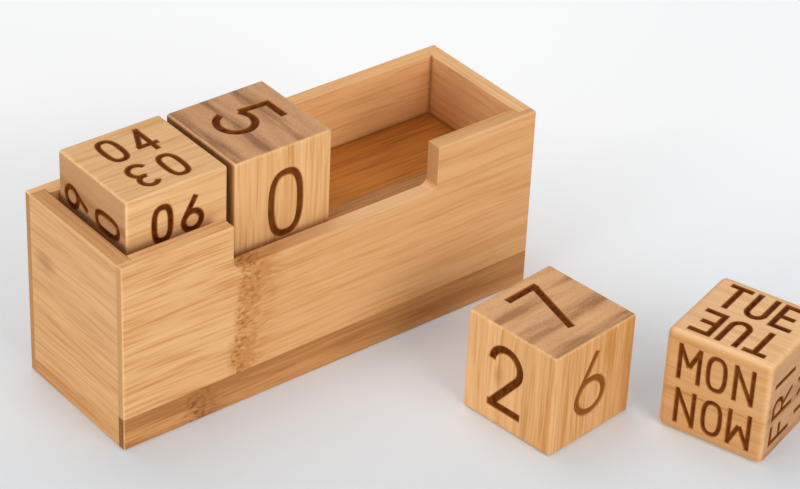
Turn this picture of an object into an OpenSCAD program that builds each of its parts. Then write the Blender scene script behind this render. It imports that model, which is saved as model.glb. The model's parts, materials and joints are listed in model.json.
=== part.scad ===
// A bamboo perpetual calendar. A box with a raised trough carries four cubes, which are
// turned by hand to show the month, the two figures of the day and the weekday.
// X runs along the box, the front faces -Y and +Z is up.
// The origin is the middle of the underside of the box.

/* [Cubes] */
// Edge of each of the four cubes
cube_edge = 40; // [32:0.5:46]
// Rounding of the edges of the month cube and of the two day cubes
cube_round = 1.2; // [0.3:0.1:2]
// Rounding of the edges of the weekday cube, which is sanded softer
weekday_round = 2.6; // [0.3:0.1:3]
// Depth of the burnt figures
figure_depth = 0.7; // [0.3:0.1:1.5]
// Height of the figure on a face of a day cube
day_h = 27; // [18:0.5:30]
// Stroke of the figure on a face of a day cube
day_stroke = 3.1; // [1.2:0.1:3.6]
// Height of the characters of a month number or a weekday
label_h = 14.6; // [10:0.2:15]
// Stroke of the characters of a month number or a weekday
label_stroke = 1.9; // [1:0.1:2.6]
// Space between the two rows of characters on a face
row_gap = 3.4; // [2:0.1:6]
// Space between two characters of a weekday
letter_gap = 2; // [1:0.1:2.6]
// Space between the two figures of a month number
number_gap = 3.6; // [1:0.1:6]
// How far the figures on the front of the month cube and the first day cube sit below its middle
front_drop = 2; // [-2:0.1:2]
// How far the 0 sits right of the middle of the first day cube's front
zero_right = 1.2; // [-2:0.1:2]
// How far the 5 sits right of the middle of the first day cube's top
five_right = 1.5; // [-2:0.1:2]
// How far the 5 sits behind the middle of the first day cube's top
five_back = 2.2; // [-3:0.1:3]
// How far the 6 sits left of the middle of the second day cube's front
six_left = 1.1; // [-2:0.1:2]
// How far the 6 sits above the middle of the second day cube's front
six_up = 2; // [-3:0.1:3]
// How far the 2 sits left of the middle of the second day cube's left face
two_left = 1.7; // [-2:0.1:2]
// How far the 7 sits behind the middle of the second day cube's top
seven_back = 2.2; // [-3:0.1:3]

/* [Box] */
// Height of the box
box_h = 72.5; // [68:0.5:90]
// Thickness of the four walls
wall_t = 6; // [5:0.5:9]
// Room left along the trough when all four cubes stand in it
trough_slack = 2; // [1:0.5:8]
// Room left across the trough beside a cube
trough_play = 5.5; // [3:0.5:10]
// Height of the upper face of the trough floor
floor_top = 48.5; // [42:0.5:51]
// Thickness of the trough floor
floor_t = 6; // [4:0.5:8]
// Thickness of the base
base_t = 6; // [4:0.5:10]
// Rounding of the outer edges of the box
box_round = 0.8; // [0.3:0.1:2]

/* [Notch in the front] */
// Length of the tab left standing at each end of the front
tab_len = 44; // [20:0.5:60]
// Depth of the notch below the top of the front
notch_d = 17; // [8:0.5:20]
// Rounding of the two lower corners of the notch
notch_round = 3; // [1:0.5:6]

/* [Joinery] */
// Thickness of the lip of the front and back that covers the ends of the end walls
lip_t = 3; // [2:0.5:4]
// Depth of the groove in each wall that holds the trough floor
groove_d = 2; // [1:0.5:3]
// Room between the trough floor and its groove
groove_gap = 0.1; // [0.05:0.05:0.3]
// Height of the dark lower stave of the front at its left end
front_joint_left = 12.5; // [8:0.5:24]
// Height of the dark lower stave of the front at its right end
front_joint_right = 14; // [6:0.5:24]
// Height of the glue line of the back
back_joint = 56; // [20:0.5:62]
// Height of the glue line of the two end walls
end_joint = 37; // [16:0.5:60]
// Thickness of the lower layer of the weekday cube
weekday_layer = 17; // [10:0.5:22]

/* [Places of the cubes] */
// Gap between the left wall and the month cube
month_left_gap = 3.2; // [0.3:0.1:10]
// Gap between the back wall and the month cube
month_back_gap = 0.6; // [0.3:0.1:2.5]
// Gap between the month cube and the first day cube
day_left_gap = 2; // [0.3:0.1:10]
// Gap between the back wall and the first day cube
day_back_gap = 1.6; // [0.3:0.1:2.5]
// Distance of the second day cube to the right of the middle of the box
second_day_right = 43.7; // [-60:0.1:80]
// Distance from the front of the box to the middle of the second day cube
second_day_ahead = 62.2; // [40:0.1:64]
// Turn of the second day cube on the table, in degrees
second_day_turn = 6.8; // [-20:0.1:20]
// Distance of the weekday cube to the right of the middle of the box
weekday_right = 93.8; // [92:0.1:160]
// Distance from the front of the box to the middle of the weekday cube
weekday_ahead = 104.1; // [104:0.1:160]
// Turn of the weekday cube on the table, in degrees
weekday_turn = -72; // [-90:0.1:0]

/* [Hidden] */
cubes_in_trough = 4;
strips_in_cube = 3;
layers_in_weekday = 2;
staves_in_floor = 3;
staves_in_base = 3;
inner_l = cubes_in_trough * cube_edge + trough_slack;
inner_d = cube_edge + trough_play;
box_l = inner_l + 2 * wall_t;
box_d = inner_d + 2 * wall_t;
notch_l = box_l - 2 * tab_len;
floor_z = floor_top - floor_t;
tongue = groove_d - groove_gap;
label_row = (label_h + row_gap) / 2;

// Cuts run this far past the faces that they open
past = 1;
cut_h = figure_depth + past;
round_steps = 5;
oval_steps = 60;
// An oval with a power of 2 is an ellipse; a higher power has flatter sides
oval_power = 2.6;
$fn = 64;

// Middle of each cube
lifted = floor_top + cube_edge / 2;
month_x = -inner_l / 2 + month_left_gap + cube_edge / 2;
day_x = month_x + cube_edge + day_left_gap;
back_row = inner_d / 2 - cube_edge / 2;
month_place = [month_x, back_row - month_back_gap, lifted];
first_day_place = [day_x, back_row - day_back_gap, lifted];
second_day_place = [second_day_right, -box_d / 2 - second_day_ahead, cube_edge / 2];
weekday_place = [weekday_right, -box_d / 2 - weekday_ahead, cube_edge / 2];

// Faces of a cube, as turns of a flat drawing: front, right, back, left, top, bottom
face_turns = [[90, 0, 0], [90, 0, 90], [90, 0, 180], [90, 0, -90], [0, 0, 0], [180, 0, 0]];

// How far each face's drawing is turned, how far it sits right of and above the middle, and what it shows.
// A second row, upside down, is read when the cube stands on its head.
centred = [0, 0];
month_faces = [
    [0, [0, -front_drop], "06", "05"], [90, centred, "10", "11"], [0, centred, "12", "01"],
    [90, centred, "09", "08"], [0, centred, "04", "03"], [0, centred, "07", "02"]
];
weekday_faces = [
    [0, centred, "MON", "MON"], [90, centred, "FRI", "FRI"], [0, centred, "WED", "WED"],
    [90, centred, "THU", "THU"], [0, centred, "TUE", "TUE"], [0, centred, "SAT", "SUN"]
];
first_day_faces = [
    [0, [zero_right, -front_drop], "0"], [0, centred, "4"], [0, centred, "1"],
    [0, centred, "3"], [-90, [five_right, five_back], "5"], [0, centred, "2"]
];
second_day_faces = [
    [0, [-six_left, six_up], "6"], [0, centred, "8"], [0, centred, "0"],
    [0, [-two_left, 0], "2"], [0, [0, seven_back], "7"], [0, centred, "1"]
];

wood = "#DBAA74";
dark_wood = "#B0713C";
floor_wood = "#9C5A2A";

function strip_names(name, count) = [for (i = [1:count]) str(name, "_strip_", i)];

// Points of a quarter circle about c that starts at angle a
function quarter(c, r, a) =
    [for (i = [0:round_steps]) c + r * [cos(a + 90 * i / round_steps), sin(a + 90 * i / round_steps)]];

// Outline of a rectangle with its corners rounded
function soft_outline(w, h, r) = concat(
    quarter([w / 2 - r, h / 2 - r], r, 0), quarter([r - w / 2, h / 2 - r], r, 90),
    quarter([r - w / 2, r - h / 2], r, 180), quarter([w / 2 - r, r - h / 2], r, 270)
);

// A block about the origin with all twelve edges rounded
module soft_block(size, r) {
    intersection() {
        linear_extrude(size.z, center = true) polygon(soft_outline(size.x, size.y, r));
        rotate([90, 0, 0]) linear_extrude(size.y, center = true) polygon(soft_outline(size.x, size.z, r));
        rotate([90, 0, 90]) linear_extrude(size.x, center = true) polygon(soft_outline(size.y, size.z, r));
    }
}

// A straight stroke of width s from p to q that runs on by e at both ends
module bar(p, q, s, e) {
    d = q - p;
    translate(p) rotate(atan2(d.y, d.x)) translate([-e, -s / 2, 0]) cube([norm(d) + 2 * e, s, cut_h]);
}

// A round stroke of width s about c, along radius r from angle a0 to angle a1
module bow(c, r, a0, a1, s) {
    translate(c) rotate(a0) rotate_extrude(angle = a1 - a0) translate([r - s / 2, 0]) square([s, cut_h]);
}

// A cosine or sine, raised so that the oval drawn with it has flatter sides than an ellipse
function fuller(c) = sign(c) * pow(abs(c), 2 / oval_power);

// Outline of an oval with half axes a and b
function oval_outline(a, b) = [
    for (i = [0:oval_steps - 1])
        [a * fuller(cos(360 * i / oval_steps)), b * fuller(sin(360 * i / oval_steps))]
];

// A tall oval ring, half as wide as it is high: b is its half height
module oval(b, s) {
    a = b / 2;
    e = s / 2;
    difference() {
        linear_extrude(cut_h) polygon(oval_outline(a + e, b + e));
        translate([0, 0, -past]) linear_extrude(cut_h + 2 * past) polygon(oval_outline(a - e, b - e));
    }
}

// Six: a ring with a straight stem that runs into its left side. Nine is the same, turned round.
module six(b, s) {
    bowl = 0.55 * b;
    tip = [0.2 * b, b];
    reach = tip - [0, bowl - b];
    touch = atan2(reach.y, reach.x) + acos(bowl / norm(reach)) + 6;
    bow([0, bowl - b], bowl, 0, 360, s);
    bar(tip, [0, bowl - b] + bowl * [cos(touch), sin(touch)], s, 0);
}

// One character of height h, about the origin, as strokes of width s.
// Bars that meet square at a corner run on by half a stroke; the others stop where they meet.
module character(c, h, s) {
    b = (h - s) / 2;
    a = b / 2;
    e = s / 2;
    cap = 0.47 * b;
    bowl = 0.55 * b;
    hook = 0.53 * b;
    flag = 0.9 * b;
    if (c == "0" || c == "O") oval(b, s);
    if (c == "1") {
        bar([0, -b], [0, b], s, e);
        bar([0, b], [-a, b - a], s, 0);
    }
    if (c == "2") {
        bow([0, b - hook], hook, -45, 178, s);
        bar([0, b - hook] + hook * [cos(-38), sin(-38)], [-a, -b], s, 0);
        bar([-a, -b], [a, -b], s, e);
    }
    if (c == "3") {
        bow([0, b - cap], cap, -110, 155, s);
        bow([0, bowl - b], bowl, -155, 100, s);
    }
    if (c == "4") {
        bar([a / 2, -b], [a / 2, b], s, e);
        bar([a / 2, b], [-a, -a], s, 0);
        bar([-a, -a], [a, -a], s, e);
    }
    if (c == "5") {
        bow([0, bowl - b], bowl, -168, 138, s);
        bar([-0.72 * a, flag], [-0.84 * a, bowl - b + 0.72 * bowl], s, 0);
        bar([-0.72 * a, flag], [0.72 * a, flag], s, e);
    }
    if (c == "6") six(b, s);
    if (c == "7") {
        bar([-a, b], [a, b], s, e);
        bar([a, b], [-a / 3, -b], s, e / 2);
    }
    if (c == "8") {
        bow([0, b - cap], cap, 0, 360, s);
        bow([0, bowl - b], bowl, 0, 360, s);
    }
    if (c == "9") rotate(180) six(b, s);
    if (c == "A") {
        bar([-a, -b - e], [0, b], s, e / 2);
        bar([a, -b - e], [0, b], s, e / 2);
        bar([-a / 2, -b / 3], [a / 2, -b / 3], s, 0);
    }
    if (c == "D") {
        bar([-a, -b], [-a, b], s, e);
        bar([-a, b], [0, b], s, 0);
        bar([-a, -b], [0, -b], s, 0);
        bow([0, b - a], a, 0, 90, s);
        bow([0, a - b], a, 270, 360, s);
        bar([a, b - a], [a, a - b], s, 0);
    }
    if (c == "E" || c == "F") {
        bar([-a, -b], [-a, b], s, e);
        bar([-a, b], [a, b], s, e);
        bar([-a, 0], [a / 2, 0], s, e);
        if (c == "E") bar([-a, -b], [a, -b], s, e);
    }
    if (c == "H" || c == "N" || c == "M") {
        half = c == "M" ? 1.15 * a : a;
        bar([-half, -b], [-half, b], s, e);
        bar([half, -b], [half, b], s, e);
        if (c == "H") bar([-half, 0], [half, 0], s, 0);
        if (c == "N") bar([-half, b], [half, -b], s, 0);
        if (c == "M") {
            bar([-half, b], [0, -b / 4], s, 0);
            bar([half, b], [0, -b / 4], s, 0);
        }
    }
    if (c == "I") bar([0, -b], [0, b], s, e);
    if (c == "R") {
        bar([-a, -b], [-a, b], s, e);
        bar([-a, b], [0, b], s, 0);
        bar([-a, b - 2 * a], [0, b - 2 * a], s, 0);
        bow([0, b - a], a, -90, 90, s);
        bar([-a / 4, b - 2 * a], [a, -b], s, e / 2);
    }
    if (c == "S") {
        bow([0, b - cap], cap, 25, 270, s);
        bow([0, bowl - b], bowl, -155, 90, s);
    }
    if (c == "T") {
        bar([-a, b], [a, b], s, e);
        bar([0, b], [0, -b], s, e);
    }
    if (c == "U") {
        bar([-a, b + e], [-a, a - b], s, 0);
        bar([a, b + e], [a, a - b], s, 0);
        bow([0, a - b], a, 180, 360, s);
    }
    if (c == "W") {
        bar([-1.2 * a, b], [-0.6 * a, -b], s, e / 2);
        bar([1.2 * a, b], [0.6 * a, -b], s, e / 2);
        bar([-0.6 * a, -b], [0, b / 2], s, e / 2);
        bar([0.6 * a, -b], [0, b / 2], s, e / 2);
    }
}

// A row of characters, spaced evenly about the origin
module label(word, gap) {
    pitch = (label_h + label_stroke) / 2 + gap;
    for (i = [0:len(word) - 1])
        translate([(i - (len(word) - 1) / 2) * pitch, 0, 0]) character(word[i], label_h, label_stroke);
}

// Puts a drawing on face k of a cube about the origin, as the face's own turn and place say
module on_face(k, face) {
    rotate(face_turns[k]) translate([face[1].x, face[1].y, cube_edge / 2 - figure_depth])
        rotate(face[0]) children();
}

// A cube about the origin with two labels burnt into each face
module label_cube(faces, gap, r) {
    difference() {
        soft_block([cube_edge, cube_edge, cube_edge], r);
        for (k = [0:5]) on_face(k, faces[k]) {
            translate([0, label_row, 0]) label(faces[k][2], gap);
            translate([0, -label_row, 0]) rotate(180) label(faces[k][3], gap);
        }
    }
}

// A cube about the origin with one figure burnt into each face
module day_cube(faces) {
    difference() {
        soft_block([cube_edge, cube_edge, cube_edge], cube_round);
        for (k = [0:5]) on_face(k, faces[k]) character(faces[k][2], day_h, day_stroke);
    }
}

// The part of a cube about the origin that lies from a to b, measured along an axis from its low face
module slice(a, b, axis) {
    intersection() {
        children();
        translate(((a + b) / 2 - cube_edge / 2) * axis)
            cube([for (k = [0:2]) axis[k] == 1 ? b - a : cube_edge + 2 * past], center = true);
    }
}

// Strip i of a cube of equal strips, counted along an axis
module strip(i, axis) {
    strip_t = cube_edge / strips_in_cube;
    slice((i - 1) * strip_t, i * strip_t, axis) children();
}

module month_cube_strip(i) {
    color(wood) translate(month_place) strip(i, [0, 0, 1]) label_cube(month_faces, number_gap, cube_round);
}

module first_day_cube_strip(i) {
    color(wood) translate(first_day_place) strip(i, [1, 0, 0]) day_cube(first_day_faces);
}

module second_day_cube_strip(i) {
    color(wood) translate(second_day_place) rotate(second_day_turn)
        strip(i, [0, 1, 0]) day_cube(second_day_faces);
}

// Layer i of the weekday cube, counted from below
module weekday_cube_strip(i) {
    low = i == 1 ? 0 : weekday_layer;
    high = i == 1 ? weekday_layer : cube_edge;
    color(wood) translate(weekday_place) rotate(weekday_turn)
        slice(low, high, [0, 0, 1]) label_cube(weekday_faces, letter_gap, weekday_round);
}

// The space between the underside and the top of the box, with the outer edges rounded
module box_outside() {
    translate([0, 0, box_h / 2]) soft_block([box_l, box_d, box_h], box_round);
}

// The groove round the inside of the walls that takes the edges of the trough floor
module floor_groove() {
    translate([-inner_l / 2 - groove_d, -inner_d / 2 - groove_d, floor_z])
        cube([inner_l + 2 * groove_d, inner_d + 2 * groove_d, floor_t + groove_gap]);
}

// A long wall that stands on the back side, whole: full length, with a lip at each end
module long_wall() {
    intersection() {
        box_outside();
        difference() {
            translate([-box_l / 2, inner_d / 2, 0]) cube([box_l, wall_t, box_h]);
            for (side = [-1, 1])
                translate([side * (box_l - wall_t) / 2, (box_d - wall_t) / 2 - lip_t, box_h / 2])
                    cube([wall_t, wall_t, box_h], center = true);
            floor_groove();
        }
    }
}

// The notch that shows the day cubes, drawn across the front wall
module front_notch() {
    low = box_h - notch_d;
    translate([0, -inner_d / 2 + past, 0]) rotate([90, 0, 0]) linear_extrude(wall_t + 2 * past)
        polygon(concat(
            [[notch_l / 2, box_h + past], [-notch_l / 2, box_h + past]],
            quarter([notch_round - notch_l / 2, low + notch_round], notch_round, 180),
            quarter([notch_l / 2 - notch_round, low + notch_round], notch_round, 270)
        ));
}

// The side of the front's sloping glue line that a stave keeps
module front_stave_side(upper) {
    far = upper ? box_h + past : -past;
    rotate([90, 0, 0]) linear_extrude(2 * box_d, center = true) polygon([
        [-box_l / 2, front_joint_left], [box_l / 2, front_joint_right], [box_l / 2, far], [-box_l / 2, far]
    ]);
}

module front_stave(upper) {
    color(upper ? wood : dark_wood) intersection() {
        difference() {
            rotate(180) long_wall();
            front_notch();
        }
        front_stave_side(upper);
    }
}

// All of the space on one side of a level glue line
module level_side(joint, upper) {
    translate([-box_l, -box_d, upper ? joint : joint - 2 * box_h]) cube([2 * box_l, 2 * box_d, 2 * box_h]);
}

module back_stave(upper) {
    color(wood) intersection() {
        long_wall();
        level_side(back_joint, upper);
    }
}

// A stave of an end wall, which stands between the lips of the front and back
module end_stave(side, upper) {
    color(wood) intersection() {
        box_outside();
        difference() {
            translate([side * (box_l - wall_t) / 2, 0, box_h / 2])
                cube([wall_t, box_d - 2 * lip_t, box_h], center = true);
            floor_groove();
        }
        level_side(end_joint, upper);
    }
}

// Stave i of the trough floor, counted from the front
module trough_floor_stave(i) {
    stave_d = (inner_d + 2 * tongue) / staves_in_floor;
    color(floor_wood) translate([-inner_l / 2 - tongue, -inner_d / 2 - tongue + (i - 1) * stave_d, floor_z])
        cube([inner_l + 2 * tongue, stave_d, floor_t]);
}

// Stave i of the base, counted from the front, which fills the space between the walls
module base_stave(i) {
    stave_d = inner_d / staves_in_base;
    color(wood) translate([-inner_l / 2, -inner_d / 2 + (i - 1) * stave_d, 0])
        cube([inner_l, stave_d, base_t]);
}

front_stave(true);  // front_upper_stave
front_stave(false);  // front_lower_stave
back_stave(true);  // back_upper_stave
back_stave(false);  // back_lower_stave
end_stave(-1, true);  // left_end_upper_stave
end_stave(-1, false);  // left_end_lower_stave
end_stave(1, true);  // right_end_upper_stave
end_stave(1, false);  // right_end_lower_stave
for (i = [1:staves_in_floor])
    trough_floor_stave(i);
for (i = [1:staves_in_base])
    base_stave(i);
for (i = [1:strips_in_cube]) {
    month_cube_strip(i);
    first_day_cube_strip(i);
    second_day_cube_strip(i);
}
for (i = [1:layers_in_weekday])
    weekday_cube_strip(i);
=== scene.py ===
"""A bamboo perpetual calendar: a box with a raised trough and four burnt cubes, as photographed."""

import json
import math

import bmesh
import bpy
import mathutils
import numpy as np
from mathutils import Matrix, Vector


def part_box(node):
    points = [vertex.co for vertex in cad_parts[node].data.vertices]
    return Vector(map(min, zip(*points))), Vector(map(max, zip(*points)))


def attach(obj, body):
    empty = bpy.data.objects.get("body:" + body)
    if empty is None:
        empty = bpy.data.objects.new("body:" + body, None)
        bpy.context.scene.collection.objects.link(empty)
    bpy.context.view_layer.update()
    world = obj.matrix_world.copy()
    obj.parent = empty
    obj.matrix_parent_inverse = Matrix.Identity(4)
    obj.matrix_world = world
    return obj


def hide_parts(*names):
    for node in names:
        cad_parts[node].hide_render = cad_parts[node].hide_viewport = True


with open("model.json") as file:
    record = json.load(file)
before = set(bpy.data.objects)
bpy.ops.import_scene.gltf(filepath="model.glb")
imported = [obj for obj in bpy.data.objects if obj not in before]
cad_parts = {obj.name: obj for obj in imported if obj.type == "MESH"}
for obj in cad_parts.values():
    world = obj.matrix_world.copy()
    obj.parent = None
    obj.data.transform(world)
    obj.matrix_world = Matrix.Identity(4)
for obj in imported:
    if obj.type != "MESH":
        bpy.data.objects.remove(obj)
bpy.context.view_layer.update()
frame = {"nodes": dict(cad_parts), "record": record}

# Front board: a wide honey stave over a narrow dark one, glued edge to edge, both of side pressed
# bamboo, planed flush and oiled. The wide one is cut out in a long notch, whose floor is painted
# paler towards the right as painted light, and its edges are eased with fine paper. A knuckle of
# the cane crosses each stave.
MM = 0.001

# How far the wood's patterns run in mm, along the grain and twice across it. Single fibres are too
# fine to show, so they are drawn 0.6 mm wide.
SWAY = (40, 12, 12)
BANDS = (160, 5, 5)
BUNDLES = (26, 1.1, 1.1)
FIBRES = (70, 0.6, 0.6)
DOTS = (10 / 3, 0.9, 0.9)
RAGGED = (50, 5, 5)
SWIRL = (25 / 3, 25 / 3, 25 / 3)
CURLS = (9, 1.5, 1.5)
PORES = (2, 10 / 7, 10 / 7)

# How far fibres stray in mm. Beside a knuckle they bend more, bands are drawn into flames, and
# curls stand between them. Noise strays to both sides of its middle.
NOISE_MIDDLE = (0.5, 0.5, 0.5)
SWAY_BY = 2.2
BENT_BY = (4, 4, 4)
FLAMED_BY = (40, 14, 14)
CURLED_BY = (16, 8, 8)

# A knuckle in mm: how far its ring is ragged and blurred, where the ring and its pores fade out
RAGGED_BY = 5
RING_BLUR = 2.5
RING_FADE = (3, 22)
PORE_FADE = (1, 13)

# Shares of tone: how far below none the bands start, what the fibres add, what the wood past a
# knuckle adds, and how much of the bundles still shows there
BAND_START = 0.15
FIBRE_SHARE = 0.3
PAST_SHARE = 0.12
PAST_BUNDLES = 0.55

# Half of a long board in mm, to which the lines change, the colour of painted light on the notch's
# level floor, and that of edges made paler, partly as wear and partly as a painted highlight
LONG_HALF = 80
LEDGE_LIGHT = "#FFD3A2"
WEAR_AND_HIGHLIGHT = "#F2CB98"

# How square to an axis a face has to be, from not at all to fully: a broad face, and a cut end
BROAD_FROM = (0.6, 0.9)
CUT_FROM = (0.75, 0.95)

# Satin oil: how rough it is on the fibres and between them, the share by which the bundles lie
# lower, and the height of that relief
OIL_ROUGH = (0.45, 0.7)
BUNDLE_SINK = 0.35
RELIEF = 0.06 * MM


def linear(code):
    """An sRGB hex colour as linear red, green, blue and full alpha."""
    parts = [int(code[i:i + 2], 16) / 255 for i in (1, 3, 5)]
    return tuple(c / 12.92 if c <= 0.04045 else ((c + 0.055) / 1.055) ** 2.4 for c in parts) + (1.0,)


def add(tree, kind, inputs=None, **settings):
    """Adds a node. An input is a constant, another node (its first output) or an output socket."""
    node = tree.nodes.new(kind)
    for key, value in settings.items():
        setattr(node, key, value)
    for key, value in (inputs or {}).items():
        if isinstance(value, bpy.types.Node):
            value = value.outputs[0]
        if isinstance(value, bpy.types.NodeSocket):
            tree.links.new(value, node.inputs[key])
        else:
            node.inputs[key].default_value = value
    return node


def bamboo(name, pale, deep, cut, grain, seed, lines=(0.5, 0.5), banding=0.45, drift=None, broad=None,
           lit_ledge=None, centre=(0, 0, 0), yaw=0.0, knuckle=None, scar=None, skirt=None, strips=None,
           trough=False, burnt=False):
    """Oiled bamboo as a solid: fibre bundles run through it along the grain, and cut ends show dots.

    To the eye it is warm and satin, with long broken lines on its sides and duller, dotted ends.
    pale and deep are the wood between the bundles and in them, and cut the same two for cut ends.
    lines is how much the bundles show at either end of a long board, and banding how much the broad
    bands do. drift is the axis along which the wood gets darker, from where to where, and by how
    much. broad is an axis and the two colours of faces square to it, paler ones as painted light
    and darker ones as painted shade, and, for one such face alone, the place that it lies before.
    sawn is the height that level faces painted paler as painted light stay below, between which
    places along the grain that paint sets in, and how much it shows. knuckle is where a ring of the
    cane crosses the grain at the foot, how far it leans for each mm up, how dark it is, and the
    colour of its pores. scar is the middle of a bud scar with the grain first, its reach and how
    dark it is. skirt is the height of a redder strip at the foot, how much lower it gets for each
    mm along the grain, and how much it shows at either end of an end board. strips is the axis
    across which a cube is glued up, where its glue lines are, how dark each strip is, and how dark
    the glue is. centre, in metres, and yaw are the piece's own frame. trough paints shade into the
    corners of the trough, and burnt is for wood with figures. Other lengths are in mm.
    """
    material = bpy.data.materials.new(name)
    material.use_nodes = True
    tree = material.node_tree
    tree.nodes.clear()
    lengthwise = "XYZ".index(grain)

    # Millimetres in the piece's own frame, then the same with the grain first
    spot = add(tree, "ShaderNodeTexCoord")
    local = add(tree, "ShaderNodeMapping", {
        "Vector": spot.outputs["Object"],
        "Location": centre, "Rotation": (0, 0, yaw), "Scale": (MM, MM, MM),
    }, vector_type="TEXTURE")
    place = add(tree, "ShaderNodeSeparateXYZ", {"Vector": local})
    on_grain = place.outputs[lengthwise]
    up = place.outputs["Z"]
    along = add(tree, "ShaderNodeCombineXYZ", {
        i: place.outputs[(lengthwise + i) % 3] for i in range(3)
    })
    facing = add(tree, "ShaderNodeMapping", {
        "Vector": spot.outputs["Normal"], "Rotation": (0, 0, yaw),
    }, vector_type="TEXTURE")
    facing = add(tree, "ShaderNodeVectorMath", {0: facing}, operation="ABSOLUTE")
    facing = add(tree, "ShaderNodeSeparateXYZ", {"Vector": facing})

    # Fibres bend aside a little, most of all beside a knuckle
    sway = add(tree, "ShaderNodeVectorMath", {0: along, 1: SWAY}, operation="DIVIDE")
    sway = add(tree, "ShaderNodeTexNoise", {
        "Vector": sway, "W": seed, "Scale": 1, "Detail": 1,
    }, noise_dimensions="4D")
    sway = add(tree, "ShaderNodeVectorMath", {
        0: sway.outputs["Color"], 1: NOISE_MIDDLE,
    }, operation="SUBTRACT")
    sway = add(tree, "ShaderNodeVectorMath", {0: sway, "Scale": SWAY_BY}, operation="SCALE")
    bent = add(tree, "ShaderNodeVectorMath", {0: along, 1: sway}, operation="ADD")
    banded = bent
    if knuckle is not None:
        crossing, lean, ring_dark, pore_colour = knuckle
        ragged = add(tree, "ShaderNodeVectorMath", {0: along, 1: RAGGED}, operation="DIVIDE")
        ragged = add(tree, "ShaderNodeTexNoise", {
            "Vector": ragged, "W": seed + 1, "Scale": 1, "Detail": 3, "Roughness": 0.6,
        }, noise_dimensions="4D")
        ragged = add(tree, "ShaderNodeMapRange", {
            "Value": ragged, "To Min": -RAGGED_BY - crossing, "To Max": RAGGED_BY - crossing,
        })
        past = add(tree, "ShaderNodeMath", {0: up, 1: -lean, 2: ragged}, operation="MULTIPLY_ADD")
        past = add(tree, "ShaderNodeMath", {0: on_grain, 1: past}, operation="ADD")
        starts = add(tree, "ShaderNodeMapRange", {
            "Value": past, "From Min": -RING_BLUR, "From Max": RING_BLUR,
        }, interpolation_type="SMOOTHSTEP")
        fades = add(tree, "ShaderNodeMapRange", {
            "Value": past, "From Min": RING_FADE[0], "From Max": RING_FADE[1], "To Min": 1, "To Max": 0,
        }, interpolation_type="SMOOTHSTEP")
        ring = add(tree, "ShaderNodeMath", {0: starts, 1: fades}, operation="MULTIPLY")
        swirl = add(tree, "ShaderNodeVectorMath", {0: along, 1: SWIRL}, operation="DIVIDE")
        swirl = add(tree, "ShaderNodeTexNoise", {
            "Vector": swirl, "W": seed + 2, "Scale": 1, "Detail": 1,
        }, noise_dimensions="4D")
        swirl = add(tree, "ShaderNodeVectorMath", {
            0: swirl.outputs["Color"], 1: NOISE_MIDDLE,
        }, operation="SUBTRACT")
        swirl = add(tree, "ShaderNodeVectorMath", {0: swirl, "Scale": ring}, operation="SCALE")
        bent = add(tree, "ShaderNodeVectorMath", {0: swirl, 1: BENT_BY, 2: bent}, operation="MULTIPLY_ADD")
        banded = add(tree, "ShaderNodeVectorMath", {
            0: swirl, 1: FLAMED_BY, 2: bent,
        }, operation="MULTIPLY_ADD")
        curls = add(tree, "ShaderNodeVectorMath", {
            0: swirl, 1: CURLED_BY, 2: bent,
        }, operation="MULTIPLY_ADD")
        curls = add(tree, "ShaderNodeVectorMath", {0: curls, 1: CURLS}, operation="DIVIDE")
        curls = add(tree, "ShaderNodeTexNoise", {
            "Vector": curls, "W": seed + 10, "Scale": 1, "Detail": 1,
        }, noise_dimensions="4D")
        curls = add(tree, "ShaderNodeMapRange", {
            "Value": curls, "From Min": 0.4, "From Max": 0.65, "To Min": 0.3, "To Max": 1.3,
        })
        streaked = add(tree, "ShaderNodeMath", {0: ring, 1: curls}, operation="MULTIPLY")

    # Bands of tone some 5 mm wide, broken bundles half a millimetre wide, and fine fibres between them
    bands = add(tree, "ShaderNodeVectorMath", {0: banded, 1: BANDS}, operation="DIVIDE")
    bands = add(tree, "ShaderNodeTexNoise", {
        "Vector": bands, "W": seed + 3, "Scale": 1, "Detail": 2, "Roughness": 0.6,
    }, noise_dimensions="4D")
    bundles = add(tree, "ShaderNodeVectorMath", {0: bent, 1: BUNDLES}, operation="DIVIDE")
    bundles = add(tree, "ShaderNodeTexNoise", {
        "Vector": bundles, "W": seed + 4, "Scale": 1, "Detail": 1,
    }, noise_dimensions="4D")
    bundles = add(tree, "ShaderNodeMapRange", {"Value": bundles, "From Min": 0.45, "From Max": 0.68})
    fibres = add(tree, "ShaderNodeVectorMath", {0: bent, 1: FIBRES}, operation="DIVIDE")
    fibres = add(tree, "ShaderNodeTexNoise", {
        "Vector": fibres, "W": seed + 5, "Scale": 1, "Detail": 1,
    }, noise_dimensions="4D")
    shown = add(tree, "ShaderNodeMapRange", {
        "Value": on_grain, "From Min": -LONG_HALF, "From Max": LONG_HALF,
        "To Min": lines[0], "To Max": lines[1],
    })
    if knuckle is not None:
        quiet = add(tree, "ShaderNodeMapRange", {"Value": starts, "To Min": 1, "To Max": PAST_BUNDLES})
        shown = add(tree, "ShaderNodeMath", {0: shown, 1: quiet}, operation="MULTIPLY")
    tone = add(tree, "ShaderNodeMapRange", {
        "Value": bands, "From Min": 0.3, "From Max": 0.7, "To Max": banding,
    })
    tone = add(tree, "ShaderNodeMath", {0: tone, 1: BAND_START}, operation="SUBTRACT")
    if drift is not None:
        axis, first, last, share = drift
        darker = add(tree, "ShaderNodeMapRange", {
            "Value": place.outputs[axis], "From Min": first, "From Max": last, "To Max": share,
        })
        tone = add(tree, "ShaderNodeMath", {0: tone, 1: darker}, operation="ADD")
    tone = add(tree, "ShaderNodeMath", {0: bundles, 1: shown, 2: tone}, operation="MULTIPLY_ADD")
    tone = add(tree, "ShaderNodeMath", {0: fibres, 1: FIBRE_SHARE, 2: tone}, operation="MULTIPLY_ADD")
    if knuckle is not None:
        tone = add(tree, "ShaderNodeMath", {0: streaked, 1: ring_dark, 2: tone}, operation="MULTIPLY_ADD")
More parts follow.
